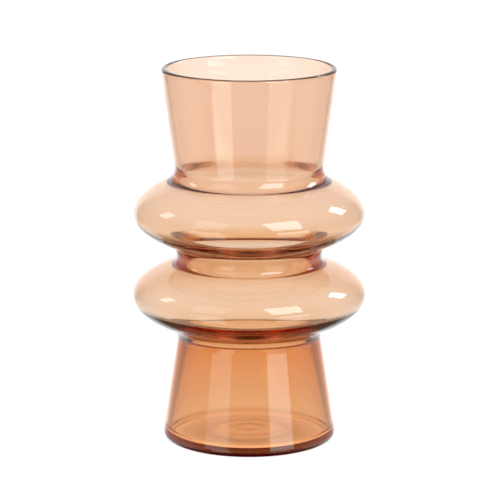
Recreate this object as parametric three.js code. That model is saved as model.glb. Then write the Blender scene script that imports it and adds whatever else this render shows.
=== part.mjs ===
// Two-ring blown glass vase: one piece of amber glass, standing on Z = 0, its axis on Z, in millimetres.
// From the bottom: a flared foot, a lower bulb, a waist groove, an upper bulb and a flared collar.
import * as THREE from 'three';

// Overall sizes
const HEIGHT = 250;
const MOUTH_RADIUS = 57.7;
const FOOT_RADIUS = 57.3;

// Lean of the two cones from the vertical, both wider at their open ends
const COLLAR_LEAN = THREE.MathUtils.degToRad(7.7);
const FOOT_LEAN = THREE.MathUtils.degToRad(8.7);

// The outer face of the two bulbs. A bulb is two half ellipses, one above its widest ring and one below it.
const LOWER_BULB = { radius: 77.4, height: 98.1, rise: 28.2, drop: 28.8 };
const UPPER_BULB = { radius: 76.2, height: 152.4, rise: 31.8, drop: 27 };

// Outer radius of the glass at the bottom of each groove, and the height of the groove between the bulbs
const LOWER_NECK_RADIUS = 47.7;
const WAIST_RADIUS = 48.3;
const WAIST_HEIGHT = 124;
const UPPER_NECK_RADIUS = 49;

// The inner face has bulbs and a waist of its own: the glass is thin at the widest rings and thick at the necks. A
// bulb's wall is given at its ring and at the top and the bottom of its ellipses. Its hollow lies a little lower.
const LOWER_WALL = { ring: 2.5, above: 5, below: 6.7, lower: 1.8 };
const UPPER_WALL = { ring: 2.4, above: 3.5, below: 4, lower: -0.1 };
const WAIST_WALL = 7.9;
const INNER_WAIST_DROP = 0.4;

// Rounding of the ridges where the inner face of a bulb runs into the inner face of a cone
const LOWER_RIDGE = 4;
const UPPER_RIDGE = 7;

// Glass thickness at the two ends of each cone, and how far the fire-polished lip stands out on both sides of it
const COLLAR_WALL = { mouth: 3.2, neck: 3.4 };
const FOOT_WALL = { base: 4.2, neck: 7.3 };
const LIP_BEAD = 0.1;

// The base: outer and inner corner rounding, floor thickness, flat standing ring and the hollow inside it
const FOOT_CORNER = 4.3;
const FLOOR_THICKNESS = 5;
const FLOOR_CORNER = 4;
const FLOOR_DOME = 1.2;
const RING_WIDTH = 8;
const UNDERSIDE_HOLLOW = 1;

// Facets: around the axis, and along each kind of arc. A bulb and the lip are two arcs that meet at their extreme.
const SIDES = 60;
const HALF_BULB_STEPS = 6;
const GROOVE_STEPS = 3;
const CORNER_STEPS = 4;
const HALF_LIP_STEPS = 3;
const BASE_STEPS = 3;

const towards = (angle) => new THREE.Vector2(Math.cos(angle), Math.sin(angle));
const onFace = (point, out) => ({ point, out });

// The ellipses of the inner face that leave a wall inside a bulb
function hollowOf(bulb, wall) {
  return {
    radius: bulb.radius - wall.ring,
    height: bulb.height - wall.lower,
    rise: bulb.rise - wall.above + wall.lower,
    drop: bulb.drop - wall.below - wall.lower,
  };
}

// A point of a bulb, with the direction that faces away from the bulb's middle there
function bulbPoint(bulb, angle) {
  const half = angle > 0 ? bulb.rise : bulb.drop;
  return onFace(
    new THREE.Vector2(bulb.radius * Math.cos(angle), bulb.height + half * Math.sin(angle)),
    new THREE.Vector2(half * Math.cos(angle), bulb.radius * Math.sin(angle)).normalize(),
  );
}

// The bulb between its two grooves, without the points where it touches them
function bulbArc(bulb, from, to) {
  const steps = Array.from({ length: HALF_BULB_STEPS }, (_, i) => i / HALF_BULB_STEPS);
  return [
    ...steps.slice(1).map((t) => bulbPoint(bulb, from * (1 - t)).point),
    ...steps.map((t) => bulbPoint(bulb, to * t).point),
  ];
}

function roundArc(centre, radius, from, to, steps) {
  return Array.from({ length: steps + 1 }, (_, i) => (
    towards(THREE.MathUtils.lerp(from, to, i / steps)).multiplyScalar(radius).add(centre)
  ));
}

// The groove beside a bulb is an arc that touches it. radiusAt gives the radius that also meets the groove's other
// side, and the place where the arc touches the bulb is found by halving until staysWide no longer holds.
function grooveBeside(bulb, side, radiusAt, staysWide) {
  let shallow = 0.3;
  let deep = 1.45;
  let arc;
  for (let i = 0; i < 40; i += 1) {
    const angle = (shallow + deep) / 2;
    const touch = bulbPoint(bulb, side * angle);
    const radius = radiusAt(touch);
    const centre = touch.point.clone().addScaledVector(touch.out, radius);
    arc = { angle, centre, radius, end: touch.out.clone().negate().angle() };
    if (staysWide(arc)) shallow = angle;
    else deep = angle;
  }
  return arc;
}

// The groove's other side is a cone, or the level at which two grooves meet. The groove goes on until it has its
// stated neck radius, or until its own rounding is down to the stated one.
const againstCone = (cone) => (touch) => (
  cone.out.dot(touch.point.clone().sub(cone.point)) / (1 - cone.out.dot(touch.out))
);
const acrossLevel = (height) => (touch) => (height - touch.point.y) / touch.out.y;
const untilNeck = (neckRadius) => ({ centre, radius }) => centre.x - radius > neckRadius;
const untilRounding = (rounding) => ({ radius }) => radius > rounding;

const grooveArc = (groove, from, to) => roundArc(groove.centre, groove.radius, from, to, GROOVE_STEPS);

// A cone's side between two points, the lower one first
function coneBetween(low, high) {
  const along = high.clone().sub(low).normalize();
  return onFace(low, new THREE.Vector2(along.y, -along.x));
}
const leanOf = (cone) => Math.atan2(cone.out.y, cone.out.x);

// One face of the glass, from the top of the foot's cone to the bottom of the collar's cone
function glassFace(foot, lowerBulb, waistHeight, upperBulb, collar, lowerEnd, waistEnd, upperEnd) {
  const lower = grooveBeside(lowerBulb, -1, againstCone(foot), lowerEnd);
  const below = grooveBeside(lowerBulb, 1, acrossLevel(waistHeight), waistEnd);
  const above = grooveBeside(upperBulb, -1, acrossLevel(waistHeight), waistEnd);
  const upper = grooveBeside(upperBulb, 1, againstCone(collar), upperEnd);
  return [
    ...grooveArc(lower, Math.PI + leanOf(foot), lower.end),
    ...bulbArc(lowerBulb, -lower.angle, below.angle),
    ...grooveArc(below, below.end, Math.PI),
    ...grooveArc(above, Math.PI, above.end).slice(1),
    ...bulbArc(upperBulb, -above.angle, upper.angle),
    ...grooveArc(upper, upper.end, Math.PI + leanOf(collar)),
  ];
}

// The lip bead sits on the middle of the collar's wall, so the collar's outer face starts half a wall outside it
const lipRadius = COLLAR_WALL.mouth / 2 + LIP_BEAD;
const lipCentre = new THREE.Vector2(MOUTH_RADIUS - lipRadius, HEIGHT - lipRadius);
const collarOut = towards(-COLLAR_LEAN);
const collarUp = towards(Math.PI / 2 - COLLAR_LEAN);
const collarLength = (HEIGHT - UPPER_BULB.height - UPPER_BULB.rise) / Math.cos(COLLAR_LEAN);
const collarTop = lipCentre.clone().addScaledVector(collarOut, COLLAR_WALL.mouth / 2);
const collarBottom = collarTop.clone().addScaledVector(collarUp, -collarLength);
const innerCollarTop = collarTop.clone().addScaledVector(collarOut, -COLLAR_WALL.mouth);
const innerCollarBottom = collarBottom.clone().addScaledVector(collarOut, -COLLAR_WALL.neck);

const footOut = towards(FOOT_LEAN);
const footUp = towards(Math.PI / 2 + FOOT_LEAN);
const footLength = (LOWER_BULB.height - LOWER_BULB.drop) / Math.cos(FOOT_LEAN);
const cornerCentre = new THREE.Vector2(FOOT_RADIUS - FOOT_CORNER, FOOT_CORNER);
const footBottom = cornerCentre.clone().addScaledVector(footOut, FOOT_CORNER);
const footTop = footBottom.clone().addScaledVector(footUp, footLength);
const innerFootBottom = footBottom.clone().addScaledVector(footOut, -FOOT_WALL.base);
const innerFootTop = footTop.clone().addScaledVector(footOut, -FOOT_WALL.neck);
const innerFoot = coneBetween(innerFootBottom, innerFootTop);

const outerFace = glassFace(
  coneBetween(footBottom, footTop),
  LOWER_BULB,
  WAIST_HEIGHT,
  UPPER_BULB,
  coneBetween(collarBottom, collarTop),
  untilNeck(LOWER_NECK_RADIUS),
  untilNeck(WAIST_RADIUS),
  untilNeck(UPPER_NECK_RADIUS),
);
const innerFace = glassFace(
  innerFoot,
  hollowOf(LOWER_BULB, LOWER_WALL),
  WAIST_HEIGHT - INNER_WAIST_DROP,
  hollowOf(UPPER_BULB, UPPER_WALL),
  coneBetween(innerCollarBottom, innerCollarTop),
  untilRounding(LOWER_RIDGE),
  untilNeck(WAIST_RADIUS - WAIST_WALL),
  untilRounding(UPPER_RIDGE),
);

// The lip bead, from the collar's outer face over the top to its inner face
const wallMeetsLip = Math.acos(COLLAR_WALL.mouth / 2 / lipRadius);
const lipTop = Math.PI / 2;
const lip = [
  ...roundArc(lipCentre, lipRadius, -COLLAR_LEAN - wallMeetsLip, lipTop, HALF_LIP_STEPS),
  ...roundArc(lipCentre, lipRadius, lipTop, Math.PI - COLLAR_LEAN + wallMeetsLip, HALF_LIP_STEPS).slice(1),
];

// The floor's corner is an arc between the inner face of the foot and the floor's rim
const cornerRise = FLOOR_THICKNESS + FLOOR_CORNER;
const innerLean = leanOf(innerFoot);
const cornerInset = (innerFootBottom.y - cornerRise) * Math.tan(innerLean) - FLOOR_CORNER / Math.cos(innerLean);
const floorCornerCentre = new THREE.Vector2(innerFootBottom.x + cornerInset, cornerRise);
const floorCorner = roundArc(floorCornerCentre, FLOOR_CORNER, innerLean, -Math.PI / 2, CORNER_STEPS);

// A shallow dome from the axis out to a rim radius, as heights above that rim
function dome(rimRadius, rimHeight, rise) {
  return Array.from({ length: BASE_STEPS }, (_, i) => {
    const t = i / BASE_STEPS;
    return new THREE.Vector2(rimRadius * t, rimHeight + rise * (1 - t * t));
  });
}

const ringOuter = FOOT_RADIUS - FOOT_CORNER;
const ringInner = ringOuter - RING_WIDTH;

// The whole section: the underside out from the axis, up the outside, over the lip, down the inside, and the floor
const section = [
  ...dome(ringInner, 0, UNDERSIDE_HOLLOW),
  new THREE.Vector2(ringInner, 0),
  ...roundArc(cornerCentre, FOOT_CORNER, -Math.PI / 2, FOOT_LEAN, CORNER_STEPS),
  ...outerFace,
  ...lip,
  ...innerFace.reverse(),
  ...floorCorner,
  ...dome(floorCornerCentre.x, FLOOR_THICKNESS, FLOOR_DOME).reverse(),
];

const amberGlass = new THREE.MeshStandardMaterial({
  color: 0xd99a62,
  roughness: 0.03,
  metalness: 0,
  transparent: true,
  opacity: 0.45,
});

const glassBody = new THREE.Mesh(new THREE.LatheGeometry(section, SIDES), amberGlass);
glassBody.name = 'glass_body';
glassBody.rotation.x = Math.PI / 2;

const vase = new THREE.Group();
vase.add(glassBody);
export default vase;
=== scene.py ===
import math

import bmesh
import bpy
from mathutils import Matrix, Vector


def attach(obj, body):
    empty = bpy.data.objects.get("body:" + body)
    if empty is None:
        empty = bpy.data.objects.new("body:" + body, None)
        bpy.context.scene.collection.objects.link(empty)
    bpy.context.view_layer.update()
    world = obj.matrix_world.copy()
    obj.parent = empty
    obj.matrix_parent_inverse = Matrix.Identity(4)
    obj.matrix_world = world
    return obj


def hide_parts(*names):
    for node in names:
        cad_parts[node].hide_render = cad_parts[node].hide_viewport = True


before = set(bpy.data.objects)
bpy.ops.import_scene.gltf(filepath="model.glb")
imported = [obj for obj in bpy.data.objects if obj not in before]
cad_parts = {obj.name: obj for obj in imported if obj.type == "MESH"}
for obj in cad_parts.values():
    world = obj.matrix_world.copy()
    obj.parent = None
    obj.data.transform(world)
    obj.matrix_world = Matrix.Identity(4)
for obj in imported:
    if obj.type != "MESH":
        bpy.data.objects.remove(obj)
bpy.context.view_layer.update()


# Glass body
# The whole vase is one skin of amber soda-lime glass, blown into a mould and cut off at the mouth. Its lip
# is fire-polished to a round bead, and its foot stands on a flat ring with a shallow hollow inside it.

HEIGHT = 0.250
MOUTH_RADIUS = 0.0577
FOOT_RADIUS = 0.0573
COLLAR_LEAN = math.radians(7.7)
FOOT_LEAN = math.radians(8.7)

# A bulb is two half ellipses, one above its widest ring and one below
LOWER_BULB = {"radius": 0.0774, "height": 0.0981, "rise": 0.0282, "drop": 0.0288}
UPPER_BULB = {"radius": 0.0762, "height": 0.1524, "rise": 0.0318, "drop": 0.0270}
LOWER_NECK_RADIUS = 0.0477
WAIST_RADIUS = 0.0483
WAIST_HEIGHT = 0.1240
UPPER_NECK_RADIUS = 0.0490

# The inner face has its own bulbs, because the glass is thin at their widest ring and thick at the necks.
# A wall is given at the ring and at the two ends of the bulb's ellipse, and "lower" is how far the hollow's
# widest ring lies below the bulb's.
LOWER_WALL = {"ring": 0.0025, "above": 0.0050, "below": 0.0067, "lower": 0.0018}
UPPER_WALL = {"ring": 0.0024, "above": 0.0035, "below": 0.0040, "lower": -0.0001}
WAIST_WALL = 0.0079
INNER_WAIST_DROP = 0.0004
UPPER_RIDGE = 0.0070
LOWER_RIDGE = 0.0040
COLLAR_WALL = 0.0032
COLLAR_WALL_BELOW = 0.0034
FOOT_WALL = 0.0042
FOOT_WALL_ABOVE = 0.0073

# The lip's bead, and how far down the collar swells towards it
LIP_RADIUS = 0.0017
LIP_SWELL = 0.007

# The base, with the faint rings that the mould's push-up left round the middle of the floor
FOOT_CORNER = 0.0043
FLOOR_THICKNESS = 0.005
FLOOR_CORNER = 0.004
FLOOR_DOME = 0.0012
FLOOR_RIPPLE = 0.00007
RIPPLE_PITCH = 0.016
RIPPLE_FADE = (0.016, 0.028)
RING_WIDTH = 0.008
UNDERSIDE_HOLLOW = 0.0010

# Facets round the axis, and along each part of the section
AROUND = 156
ALONG_HALF_BULB = 32
ALONG_GROOVE = 16
ALONG_CONE = 20
ALONG_CORNER = 10
ALONG_HALF_LIP = 8
ALONG_BASE = 40


def steps(count, start=0.0, end=1.0):
    return [start + (end - start) * i / count for i in range(count + 1)]


def smooth(value, low, high):
    share = min(max((value - low) / (high - low), 0.0), 1.0)
    return share * share * (3 - 2 * share)


def towards(angle):
    return Vector((math.cos(angle), math.sin(angle)))


def hollow_of(bulb, wall):
    """The ellipses of the inner face that leave a wall inside a bulb."""
    return {
        "radius": bulb["radius"] - wall["ring"],
        "height": bulb["height"] - wall["lower"],
        "rise": bulb["rise"] - wall["above"] + wall["lower"],
        "drop": bulb["drop"] - wall["below"] - wall["lower"],
    }


def bulb_point(bulb, angle):
    """A point of a bulb, and which way the bulb's skin faces there."""
    half = bulb["rise"] if angle > 0 else bulb["drop"]
    across, up = towards(angle)
    place = Vector((bulb["radius"] * across, bulb["height"] + half * up))
    return place, Vector((half * across, bulb["radius"] * up)).normalized()


def bulb_arc(bulb, start, end):
    """The bulb between its two grooves, without the points where it touches them."""
    below = [bulb_point(bulb, start * (1 - t))[0] for t in steps(ALONG_HALF_BULB)[1:-1]]
    return below + [bulb_point(bulb, end * t)[0] for t in steps(ALONG_HALF_BULB)[:-1]]


def round_arc(centre, radius, start, end, count):
    return [centre + radius * towards(angle) for angle in steps(count, start, end)]


def straight(start, end, count):
    return [start + (end - start) * t for t in steps(count)[1:-1]]


# A groove touches its bulb somewhere between these two angles. The span is halved this often to find the place.
SHALLOW_TOUCH = 0.3
DEEP_TOUCH = 1.45
HALVINGS = 40


def groove_beside(bulb, side, radius_at, stays_wide):
    """The arc that touches the bulb, found by halving the angle where it touches."""
    shallow, deep = SHALLOW_TOUCH, DEEP_TOUCH
    for _ in range(HALVINGS):
        angle = (shallow + deep) / 2
        place, out = bulb_point(bulb, side * angle)
        radius = radius_at(place, out)
        centre = place + radius * out
        if stays_wide(centre, radius):
            shallow = angle
        else:
            deep = angle
    end = math.atan2(-out.y, -out.x) % math.tau
    return {"angle": angle, "centre": centre, "radius": radius, "end": end}


# A groove's other side is a cone, or the level where two grooves meet. The groove goes on inwards until its
# neck, or its own rounding, is as small as stated.

def against_line(line_place, line_out):
    return lambda place, out: line_out.dot(place - line_place) / (1 - line_out.dot(out))


def across_level(height):
    return lambda place, out: (height - place.y) / out.y


def neck_of(neck_radius):
    return lambda centre, radius: centre.x - radius > neck_radius


def ridge_of(ridge_radius):
    return lambda centre, radius: radius > ridge_radius


def groove_arc(groove, start, end):
    return round_arc(groove["centre"], groove["radius"], start, end, ALONG_GROOVE)


def cone_out(low, high):
    """Which way a cone's side faces, seen from outside, from two points up its side."""
    along = (high - low).normalized()
    return Vector((along.y, -along.x))


def glass_face(foot, lower_bulb, waist_height, upper_bulb, collar, lower_neck, waist, upper_neck):
    """One face of the glass, from the top of the foot's cone to the bottom of the collar's cone."""
    foot_out, collar_out = cone_out(*foot), cone_out(*collar)
    lower = groove_beside(lower_bulb, -1, against_line(foot[0], foot_out), lower_neck)
    below = groove_beside(lower_bulb, 1, across_level(waist_height), waist)
    above = groove_beside(upper_bulb, -1, across_level(waist_height), waist)
    upper = groove_beside(upper_bulb, 1, against_line(collar[0], collar_out), upper_neck)
    foot_turn = math.atan2(foot_out.y, foot_out.x)
    collar_turn = math.atan2(collar_out.y, collar_out.x)
    return [
        *groove_arc(lower, math.pi + foot_turn, lower["end"]),
        *bulb_arc(lower_bulb, -lower["angle"], below["angle"]),
        *groove_arc(below, below["end"], math.pi),
        *groove_arc(above, math.pi, above["end"])[1:],
        *bulb_arc(upper_bulb, -above["angle"], upper["angle"]),
        *groove_arc(upper, upper["end"], math.pi + collar_turn),
    ]


def dome(rim_radius, rim_height, rise, ripple=0.0):
    """A shallow dome, with rings round its middle that die away outwards."""
    outline = []
    for t in steps(ALONG_BASE)[:-1]:
        radius = rim_radius * t
        wave = ripple * math.cos(math.tau * radius / RIPPLE_PITCH) * (1 - smooth(radius, *RIPPLE_FADE))
        outline.append(Vector((radius, rim_height + rise * (1 - t * t) + wave)))
    return outline


lip_centre = Vector((MOUTH_RADIUS - LIP_RADIUS, HEIGHT - LIP_RADIUS))
collar_out = towards(-COLLAR_LEAN)
collar_up = towards(math.pi / 2 - COLLAR_LEAN)
collar_top = lip_centre + collar_out * COLLAR_WALL / 2
collar_length = (HEIGHT - UPPER_BULB["height"] - UPPER_BULB["rise"]) / math.cos(COLLAR_LEAN)
collar_bottom = collar_top - collar_up * collar_length
inner_collar_top = collar_top - collar_out * COLLAR_WALL
inner_collar_bottom = collar_bottom - collar_out * COLLAR_WALL_BELOW

foot_out = towards(FOOT_LEAN)
foot_up = towards(math.pi / 2 + FOOT_LEAN)
corner_centre = Vector((FOOT_RADIUS - FOOT_CORNER, FOOT_CORNER))
foot_bottom = corner_centre + foot_out * FOOT_CORNER
foot_top = foot_bottom + foot_up * (LOWER_BULB["height"] - LOWER_BULB["drop"]) / math.cos(FOOT_LEAN)
inner_foot_bottom = foot_bottom - foot_out * FOOT_WALL
inner_foot_top = foot_top - foot_out * FOOT_WALL_ABOVE

outer_face = glass_face(
    (foot_bottom, foot_top), LOWER_BULB, WAIST_HEIGHT, UPPER_BULB, (collar_bottom, collar_top),
    neck_of(LOWER_NECK_RADIUS), neck_of(WAIST_RADIUS), neck_of(UPPER_NECK_RADIUS),
)
inner_face = glass_face(
    (inner_foot_bottom, inner_foot_top), hollow_of(LOWER_BULB, LOWER_WALL),
    WAIST_HEIGHT - INNER_WAIST_DROP,
    hollow_of(UPPER_BULB, UPPER_WALL), (inner_collar_bottom, inner_collar_top),
    ridge_of(LOWER_RIDGE), neck_of(WAIST_RADIUS - WAIST_WALL), ridge_of(UPPER_RIDGE),
)


def collar_side(start, end, side):
    """The collar's wall swells over its last few millimetres to the lip's full width."""
    swell = side * (LIP_RADIUS - COLLAR_WALL / 2)
    line = straight(start, end, 2 * ALONG_CONE)
    return [place + collar_out * swell * smooth(place.y, end.y - LIP_SWELL, end.y) for place in line]


lip = round_arc(lip_centre, LIP_RADIUS, -COLLAR_LEAN, math.pi - COLLAR_LEAN, 2 * ALONG_HALF_LIP)

inner_foot_out = cone_out(inner_foot_bottom, inner_foot_top)
inner_foot_lean = math.atan2(inner_foot_out.y, inner_foot_out.x)
floor_corner_height = FLOOR_THICKNESS + FLOOR_CORNER
floor_corner_centre = Vector((
    inner_foot_bottom.x + (inner_foot_bottom.y - floor_corner_height) * math.tan(inner_foot_lean)
    - FLOOR_CORNER / math.cos(inner_foot_lean),
    floor_corner_height,
))
floor_corner = round_arc(floor_corner_centre, FLOOR_CORNER, inner_foot_lean, -math.pi / 2, ALONG_CORNER)

ring_outer = FOOT_RADIUS - FOOT_CORNER
ring_inner = ring_outer - RING_WIDTH
foot_corner = round_arc(corner_centre, FOOT_CORNER, -math.pi / 2, FOOT_LEAN, ALONG_CORNER)

section = [
    *dome(ring_inner, 0, UNDERSIDE_HOLLOW),
    Vector((ring_inner, 0)),
    *foot_corner,
    *straight(foot_corner[-1], outer_face[0], ALONG_CONE),
    *outer_face,
    *collar_side(outer_face[-1], collar_top, 1),
    *lip,
    *reversed(collar_side(inner_face[-1], inner_collar_top, -1)),
    *reversed(inner_face),
    *straight(inner_face[0], floor_corner[0], ALONG_CONE),
    *floor_corner,
    *reversed(dome(floor_corner_centre.x, FLOOR_THICKNESS, FLOOR_DOME, FLOOR_RIPPLE)),
]


MERGE_DISTANCE = 1e-6


def spun_mesh(name, outline, sides):
    """A closed glass skin, from an outline that starts and ends on the axis."""
    bm = bmesh.new()
    verts = [bm.verts.new((place.x, 0, place.y)) for place in outline]
    edges = [bm.edges.new(pair) for pair in zip(verts, verts[1:])]
    bmesh.ops.spin(
        bm, geom=verts + edges, axis=(0, 0, 1), cent=(0, 0, 0), angle=math.tau, steps=sides,
        use_merge=True,
    )
    bmesh.ops.remove_doubles(bm, verts=bm.verts, dist=MERGE_DISTANCE)
    bmesh.ops.recalc_face_normals(bm, faces=bm.faces)
    for face in bm.faces:
        face.smooth = True
    mesh = bpy.data.meshes.new(name)
    bm.to_mesh(mesh)
    bm.free()
    piece = bpy.data.objects.new(name, mesh)
    bpy.context.scene.collection.objects.link(piece)
    return piece


class Shading:
    """A node tree that is built from Python expressions."""

    def __init__(self, tree):
        self.tree = tree
        self.tree.nodes.clear()

    def node(self, kind, settings=None, inputs=None):
        made = self.tree.nodes.new("ShaderNode" + kind)
        for name, setting in (settings or {}).items():
            setattr(made, name, setting)
        for name, given in (inputs or {}).items():
            socket = made.inputs[name]
            if isinstance(given, Value):
                given = given.socket
            if isinstance(given, bpy.types.NodeSocket):
                self.tree.links.new(given, socket)
            else:
                socket.default_value = given
        return made

    def value(self, kind, output, settings=None, inputs=None):
        return Value(self, self.node(kind, settings, inputs).outputs[output])


class Value:
    """One number of a shader, which Python's operators work on."""

    def __init__(self, shading, socket):
        self.shading = shading
        self.socket = socket

    def maths(self, operation, *others):
        given = dict(enumerate((self, *others)))
        return self.shading.value("Math", 0, {"operation": operation}, given)

    def __add__(self, other):
        return self.maths("ADD", other)

    def __sub__(self, other):
        return self.maths("SUBTRACT", other)

    def __mul__(self, other):
        return self.maths("MULTIPLY", other)

    def __truediv__(self, other):
        return self.maths("DIVIDE", other)

    def __rsub__(self, other):
        return self.shading.value("Math", 0, {"operation": "SUBTRACT"}, {0: other, 1: self})

    __radd__ = __add__
    __rmul__ = __mul__


def step(place, middle, fade, start, end):
    """A smooth change from one value to another where a shader's value passes a middle."""
    return place.shading.value("MapRange", "Result", {"interpolation_type": "SMOOTHSTEP"}, {
        "Value": place,
        "From Min": middle - fade,
        "From Max": middle + fade,
        "To Min": start,
        "To Max": end,
    })


GLASS_IOR = 1.5
# Absorption per metre of glass in red, green and blue
ABSORPTION = (25.0, 81.0, 142.0)
ABSORPTION_DENSITY = 200.0

# What one passage through the wall keeps of each colour besides that. The tint changes evenly from each
# height to the next.
FLOOR_TINT = (0.940, 0.870, 0.800)
FOOT_TINT = (0.965, 0.860, 0.750)
LOWER_NECK_TINT = (0.940, 0.800, 0.635)
CLEAR_TINT = (0.985, 1.000, 1.000)
LOWER_BULB_TINT = (0.945, 0.940, 0.950)
UPPER_BULB_TINT = (0.935, 0.890, 0.865)
COLLAR_TINT = (0.950, 0.910, 0.925)
TINTS = (
    (0.030, FLOOR_TINT),
    (0.055, FOOT_TINT),
    (0.0685, LOWER_NECK_TINT),
    (0.0712, CLEAR_TINT),
    (0.078, CLEAR_TINT),
    (0.086, LOWER_BULB_TINT),
    (0.112, LOWER_BULB_TINT),
    (0.119, CLEAR_TINT),
    (0.131, CLEAR_TINT),
    (0.138, UPPER_BULB_TINT),
    (0.165, UPPER_BULB_TINT),
    (0.180, COLLAR_TINT),
)

# The standing ring and the outer part of the hollow inside it were ground, which left them matt
GROUND_ROUGHNESS = 0.70
GROUND_HEIGHT = 0.0018
GROUND_FADE = 0.0003
GROUND_INNER = 0.028
GROUND_INNER_FADE = 0.014

# The mould left slow, shallow waves in the surface
WAVE_SCALE = 28.0
WAVE_DETAIL = 1.0
WAVE_ROUGHNESS = 0.4
WAVE_STRENGTH = 0.12
WAVE_DEPTH = 0.001

amber_glass = bpy.data.materials.new("amber_glass")
amber_glass.use_nodes = True
shading = Shading(amber_glass.node_tree)
place_on_glass = shading.value("TexCoord", "Object")
waves = shading.value("TexNoise", "Fac", {"noise_dimensions": "3D"}, {
    "Vector": place_on_glass,
    "Scale": WAVE_SCALE,
    "Detail": WAVE_DETAIL,
    "Roughness": WAVE_ROUGHNESS,
})
height_on_glass = shading.value("SeparateXYZ", "Z", None, {0: place_on_glass})
flat_place = shading.value(
    "VectorMath", 0, {"operation": "MULTIPLY"}, {0: place_on_glass, 1: (1.0, 1.0, 0.0)}
)
off_axis = shading.value("VectorMath", "Value", {"operation": "LENGTH"}, {0: flat_place})
low = step(height_on_glass, GROUND_HEIGHT, GROUND_FADE, GROUND_ROUGHNESS, 0.0)
within_ring = step(off_axis, ring_outer, GROUND_FADE, 1.0, 0.0)
ground = low * within_ring * step(off_axis, GROUND_INNER, GROUND_INNER_FADE, 0.0, 1.0)

ramp = shading.node("ValToRGB", None, {"Fac": height_on_glass / HEIGHT})
stops = ramp.color_ramp.elements
for stop, (height, colour) in zip(stops, TINTS):
    stop.position = height / HEIGHT
    stop.color = (*colour, 1.0)
for height, colour in TINTS[2:]:
    stops.new(height / HEIGHT).color = (*colour, 1.0)

skin = shading.value(
    "Bump", "Normal", None, {"Height": waves, "Strength": WAVE_STRENGTH, "Distance": WAVE_DEPTH}
)
surface = shading.node("BsdfPrincipled", None, {
    "Base Color": ramp.outputs["Color"],
    "Roughness": ground,
    "IOR": GLASS_IOR,
    "Transmission Weight": 1.0,
    "Normal": skin,
})
inside = shading.node("VolumeAbsorption", None, {
    "Color": (*[1 - a / ABSORPTION_DENSITY for a in ABSORPTION], 1.0),
    "Density": ABSORPTION_DENSITY,
})
shading.node("OutputMaterial", None, {"Surface": surface.outputs[0], "Volume": inside.outputs[0]})

vase = spun_mesh("vase_glass", section, AROUND)
vase.data.materials.append(amber_glass)
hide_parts("glass_body")
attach(vase, "root")


# Table and backdrop
# A plain white sheet of matt paper, which carries the vase and runs far past it on all sides. The white
# backdrop behind it is part of the room's light.

TABLE_SIZE = 6.0
PAPER_COLOUR = (0.86, 0.86, 0.86, 1.0)
WHITE = (1.0, 1.0, 1.0, 1.0)
# To the camera most of the paper's look is a plain white, and the rest is the real light and shadow on it
PAPER_WHITE = 1.05
WHITE_SHARE = 0.92
# The ring of paper under the vase shows through the glass as a painted glow, and this is how bright it
# glows. Elsewhere the room's own light from below shows through the glass.
UNDER_VASE_PAINTED_LIGHT = 1.6
UNDER_VASE_RADIUS = 0.0575
UNDER_VASE_FADE = 0.001

bm = bmesh.new()
bmesh.ops.create_grid(bm, x_segments=1, y_segments=1, size=TABLE_SIZE / 2)
table_mesh = bpy.data.meshes.new("table")
bm.to_mesh(table_mesh)
bm.free()
table = bpy.data.objects.new("table", table_mesh)
bpy.context.scene.collection.objects.link(table)

white_paper = bpy.data.materials.new("white_paper")
white_paper.use_nodes = True
shading = Shading(white_paper.node_tree)
light_path = shading.node("LightPath")
seen = Value(shading, light_path.outputs["Is Camera Ray"])
seen_through = Value(shading, light_path.outputs["Is Transmission Ray"])
paper = shading.node("BsdfDiffuse", None, {"Color": PAPER_COLOUR})
bright = shading.node("Emission", None, {"Color": WHITE, "Strength": PAPER_WHITE})
shown = shading.node("MixShader", None, {0: seen * WHITE_SHARE, 1: paper.outputs[0], 2: bright.outputs[0]})
place_on_table = shading.value("TexCoord", "Object")
off_axis = shading.value("VectorMath", "Value", {"operation": "LENGTH"}, {0: place_on_table})
under_vase = step(off_axis, UNDER_VASE_RADIUS, UNDER_VASE_FADE, 1.0, 0.0) * step(
    off_axis, GROUND_INNER, GROUND_INNER_FADE, 0.0, 1.0
)
clear = shading.node("BsdfTransparent")
# Painted light: the paper under the vase glows where it shows through the glass
painted_glow_under_vase = shading.node("Emission", None, {"Color": WHITE, "Strength": UNDER_VASE_PAINTED_LIGHT})
below = shading.node("MixShader", None, {0: under_vase, 1: clear.outputs[0], 2: painted_glow_under_vase.outputs[0]})
either = shading.node("MixShader", None, {0: seen_through, 1: shown.outputs[0], 2: below.outputs[0]})
shading.node("OutputMaterial", None, {"Surface": either.outputs[0]})
table.data.materials.append(white_paper)
# The glass mirrors the room's light from below, and not the paper
table.visible_glossy = False


# Studio light
# Two large soft boxes stand in front of the vase, to its left and right, and a small one stands at each side,
# a little behind it. A white room with a bright backdrop lights it from all round.

LAMP_DISTANCE = 1.2
DAYLIGHT = (0.78, 0.97, 1.0)


def soft_box(name, azimuth, elevation, width, height, radiance):
    """A lamp that faces the vase, by its angles to the right of the camera's side and above the level."""
    lamp = bpy.data.lights.new(name, "AREA")
    lamp.shape = "RECTANGLE"
    lamp.size = width
    lamp.size_y = height
    lamp.energy = radiance * width * height
    lamp.color = DAYLIGHT
    holder = bpy.data.objects.new(name, lamp)
    bpy.context.scene.collection.objects.link(holder)
    azimuth, elevation = math.radians(azimuth), math.radians(elevation)
    spot = Vector((
        math.sin(azimuth) * math.cos(elevation),
        -math.cos(azimuth) * math.cos(elevation),
        math.sin(elevation),
    ))
    holder.location = Vector((0, 0, HEIGHT / 2)) + spot * LAMP_DISTANCE
    holder.rotation_euler = spot.to_track_quat("Z", "Y").to_euler()
    # The lamps show in the glass as reflections, and don't glare through it
    holder.visible_transmission = False


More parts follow.
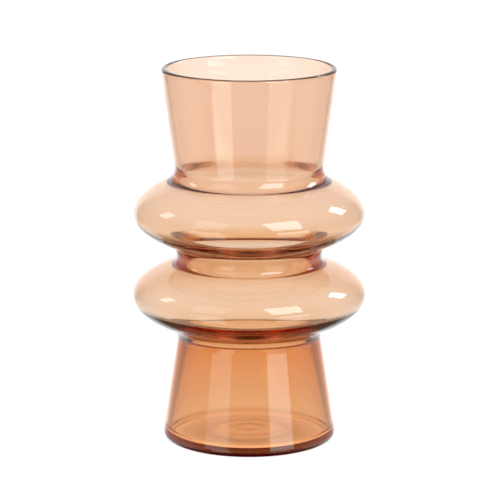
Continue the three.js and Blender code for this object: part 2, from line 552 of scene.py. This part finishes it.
soft_box("soft_box_right", azimuth=38, elevation=33, width=0.66, height=0.73, radiance=22.0)
soft_box("soft_box_left", azimuth=-42, elevation=33, width=0.66, height=0.73, radiance=4.0)
soft_box("rim_light_right", azimuth=118, elevation=32, width=0.26, height=0.36, radiance=30.0)
soft_box("rim_light_left", azimuth=-102, elevation=33, width=0.26, height=0.30, radiance=14.0)

# The backdrop is a white field behind the vase, given as directions from it: half its width, its foot and its
# top. Its light fades out over its edges, and a share of it goes on above the top.
BACKDROP_SIDE = math.radians(27)
BACKDROP_FOOT = math.radians(-37)
BACKDROP_TOP = math.radians(22)
BACKDROP_FADE = math.radians(6)
BACKDROP_TOP_FADE = math.radians(12)
BACKDROP_LIGHT = 1.25
BACKDROP_ABOVE = 0.4

# Beside the backdrop stand dimmer walls, with the white sweep below them. The room has a pale ceiling, is open
# and dark towards the camera, and is dark straight down.
WALL_LIGHT = 0.68
SWEEP_LIGHT = 1.10
SWEEP_EDGE = math.radians(-15)
FRONT_LIGHT = 0.03
FRONT_SIDE = math.radians(72)
FRONT_FADE = math.radians(20)
CEILING_LIGHT = 0.90
CEILING_FOOT = math.radians(28)
CEILING_FADE = math.radians(18)
TABLE_LIGHT = 0.02

# The dark parts take up a little of the amber light that comes through the glass, but not straight down
AMBER_LIGHT = 0.40
AMBER_COLOUR = (1.0, 0.60, 0.34)
AMBER_FOOT = math.radians(-60)
AMBER_FADE = math.radians(5)

room = bpy.data.worlds.new("white_room")
room.use_nodes = True
shading = Shading(room.node_tree)
way = shading.node("SeparateXYZ", None, {0: shading.node("TexCoord").outputs["Generated"]})
rise = shading.value("Math", 0, {"operation": "ARCSINE"}, {0: way.outputs["Z"]})
towards_camera = 0.0 - Value(shading, way.outputs["Y"])
side = shading.value("Math", 0, {"operation": "ARCTAN2"}, {0: way.outputs["X"], 1: towards_camera})
across = step(side.maths("ABSOLUTE"), math.pi - BACKDROP_SIDE, BACKDROP_FADE, 0.0, 1.0)
below_top = step(rise, BACKDROP_TOP, BACKDROP_TOP_FADE, 1.0, BACKDROP_ABOVE)
over_foot = step(rise, BACKDROP_FOOT, BACKDROP_FADE, 0.0, 1.0)
over_ceiling = step(rise, CEILING_FOOT, CEILING_FADE, 0.0, 1.0)
around = step(rise, SWEEP_EDGE, BACKDROP_FADE, SWEEP_LIGHT, WALL_LIGHT)
behind_front = step(side.maths("ABSOLUTE"), FRONT_SIDE, FRONT_FADE, 0.0, 1.0)
walls = FRONT_LIGHT + behind_front * (around - FRONT_LIGHT)
walls = walls + over_ceiling * (CEILING_LIGHT - walls)
room_light = walls + across * below_top * (BACKDROP_LIGHT - walls)
lit = TABLE_LIGHT + over_foot * (room_light - TABLE_LIGHT)
unlit = 1.0 - over_foot * (over_ceiling + behind_front - over_ceiling * behind_front)
amber = AMBER_LIGHT * unlit * step(rise, AMBER_FOOT, AMBER_FADE, 0.0, 1.0)

GLOW_FADE = math.radians(0.7)


def glow(left, right, low, high, light):
    """A bright patch of the room, in degrees to the right of the camera's side and above the level."""
    left, right, low, high = (math.radians(angle) for angle in (left, right, low, high))
    sideways = step(side, left, GLOW_FADE, 0.0, 1.0) * step(side, right, GLOW_FADE, 1.0, 0.0)
    upwards = step(rise, low, GLOW_FADE, 0.0, 1.0) * step(rise, high, GLOW_FADE, 1.0, 0.0)
    return light * sideways * upwards


# Below each of the two large soft boxes there is a white panel, and the sweep shines in front of it. They
# make the tall pale bands in the collar and the foot.
glows = (
    glow(-52, -25, -42, -8, light=1.9)
    + glow(-61, -28, -8, 4.2, light=1.7)
    + glow(28, 62, -42, -8, light=1.1)
    + glow(28, 61, -8, 4.2, light=3.4)
)
seen = Value(shading, shading.node("LightPath").outputs["Is Camera Ray"])
seen_in_glass = 1.0 - seen
white = shading.node("Background", None, {"Color": WHITE, "Strength": lit * seen_in_glass + seen})
cool = shading.node("Background", None, {"Color": (*DAYLIGHT, 1.0), "Strength": glows * seen_in_glass})
warm = shading.node("Background", None, {"Color": (*AMBER_COLOUR, 1.0), "Strength": amber * seen_in_glass})
white_and_cool = shading.node("AddShader", None, {0: white.outputs[0], 1: cool.outputs[0]})
all_light = shading.node("AddShader", None, {0: white_and_cool.outputs[0], 1: warm.outputs[0]})
shading.node("OutputWorld", None, {"Surface": all_light.outputs[0]})
bpy.context.scene.world = room


# Camera
# A long lens nearly level with the vase, looking down on it a little. The picture is square, and the point
# on the vase's axis that the lens aims at shows at AIM_PIXEL in it.

CAMERA_DISTANCE = 1.992
CAMERA_RISE = math.radians(12.13)
AIM_HEIGHT = 0.1295
PHOTO_SIDE = 500
AIM_PIXEL = (249.2, 246.9)
SENSOR_WIDTH = 36.0
FOCAL_LENGTH = 216.0
# Light that is caught in the thick glass turns many times before it leaves
GLASS_BOUNCES = 32
GLOSSY_BOUNCES = 16

lens = bpy.data.cameras.new("camera")
lens.sensor_width = SENSOR_WIDTH
lens.lens = FOCAL_LENGTH
lens.shift_x = (PHOTO_SIDE / 2 - AIM_PIXEL[0]) / PHOTO_SIDE
lens.shift_y = (AIM_PIXEL[1] - PHOTO_SIDE / 2) / PHOTO_SIDE
camera = bpy.data.objects.new("camera", lens)
bpy.context.scene.collection.objects.link(camera)
sight = Vector((0, -math.cos(CAMERA_RISE), math.sin(CAMERA_RISE)))
camera.location = Vector((0, 0, AIM_HEIGHT)) + sight * CAMERA_DISTANCE
camera.rotation_euler = sight.to_track_quat("Z", "Y").to_euler()
bpy.context.scene.camera = camera

bpy.context.scene.view_settings.view_transform = "Standard"
bpy.context.scene.cycles.max_bounces = GLASS_BOUNCES
bpy.context.scene.cycles.transmission_bounces = GLASS_BOUNCES
bpy.context.scene.cycles.glossy_bounces = GLOSSY_BOUNCES
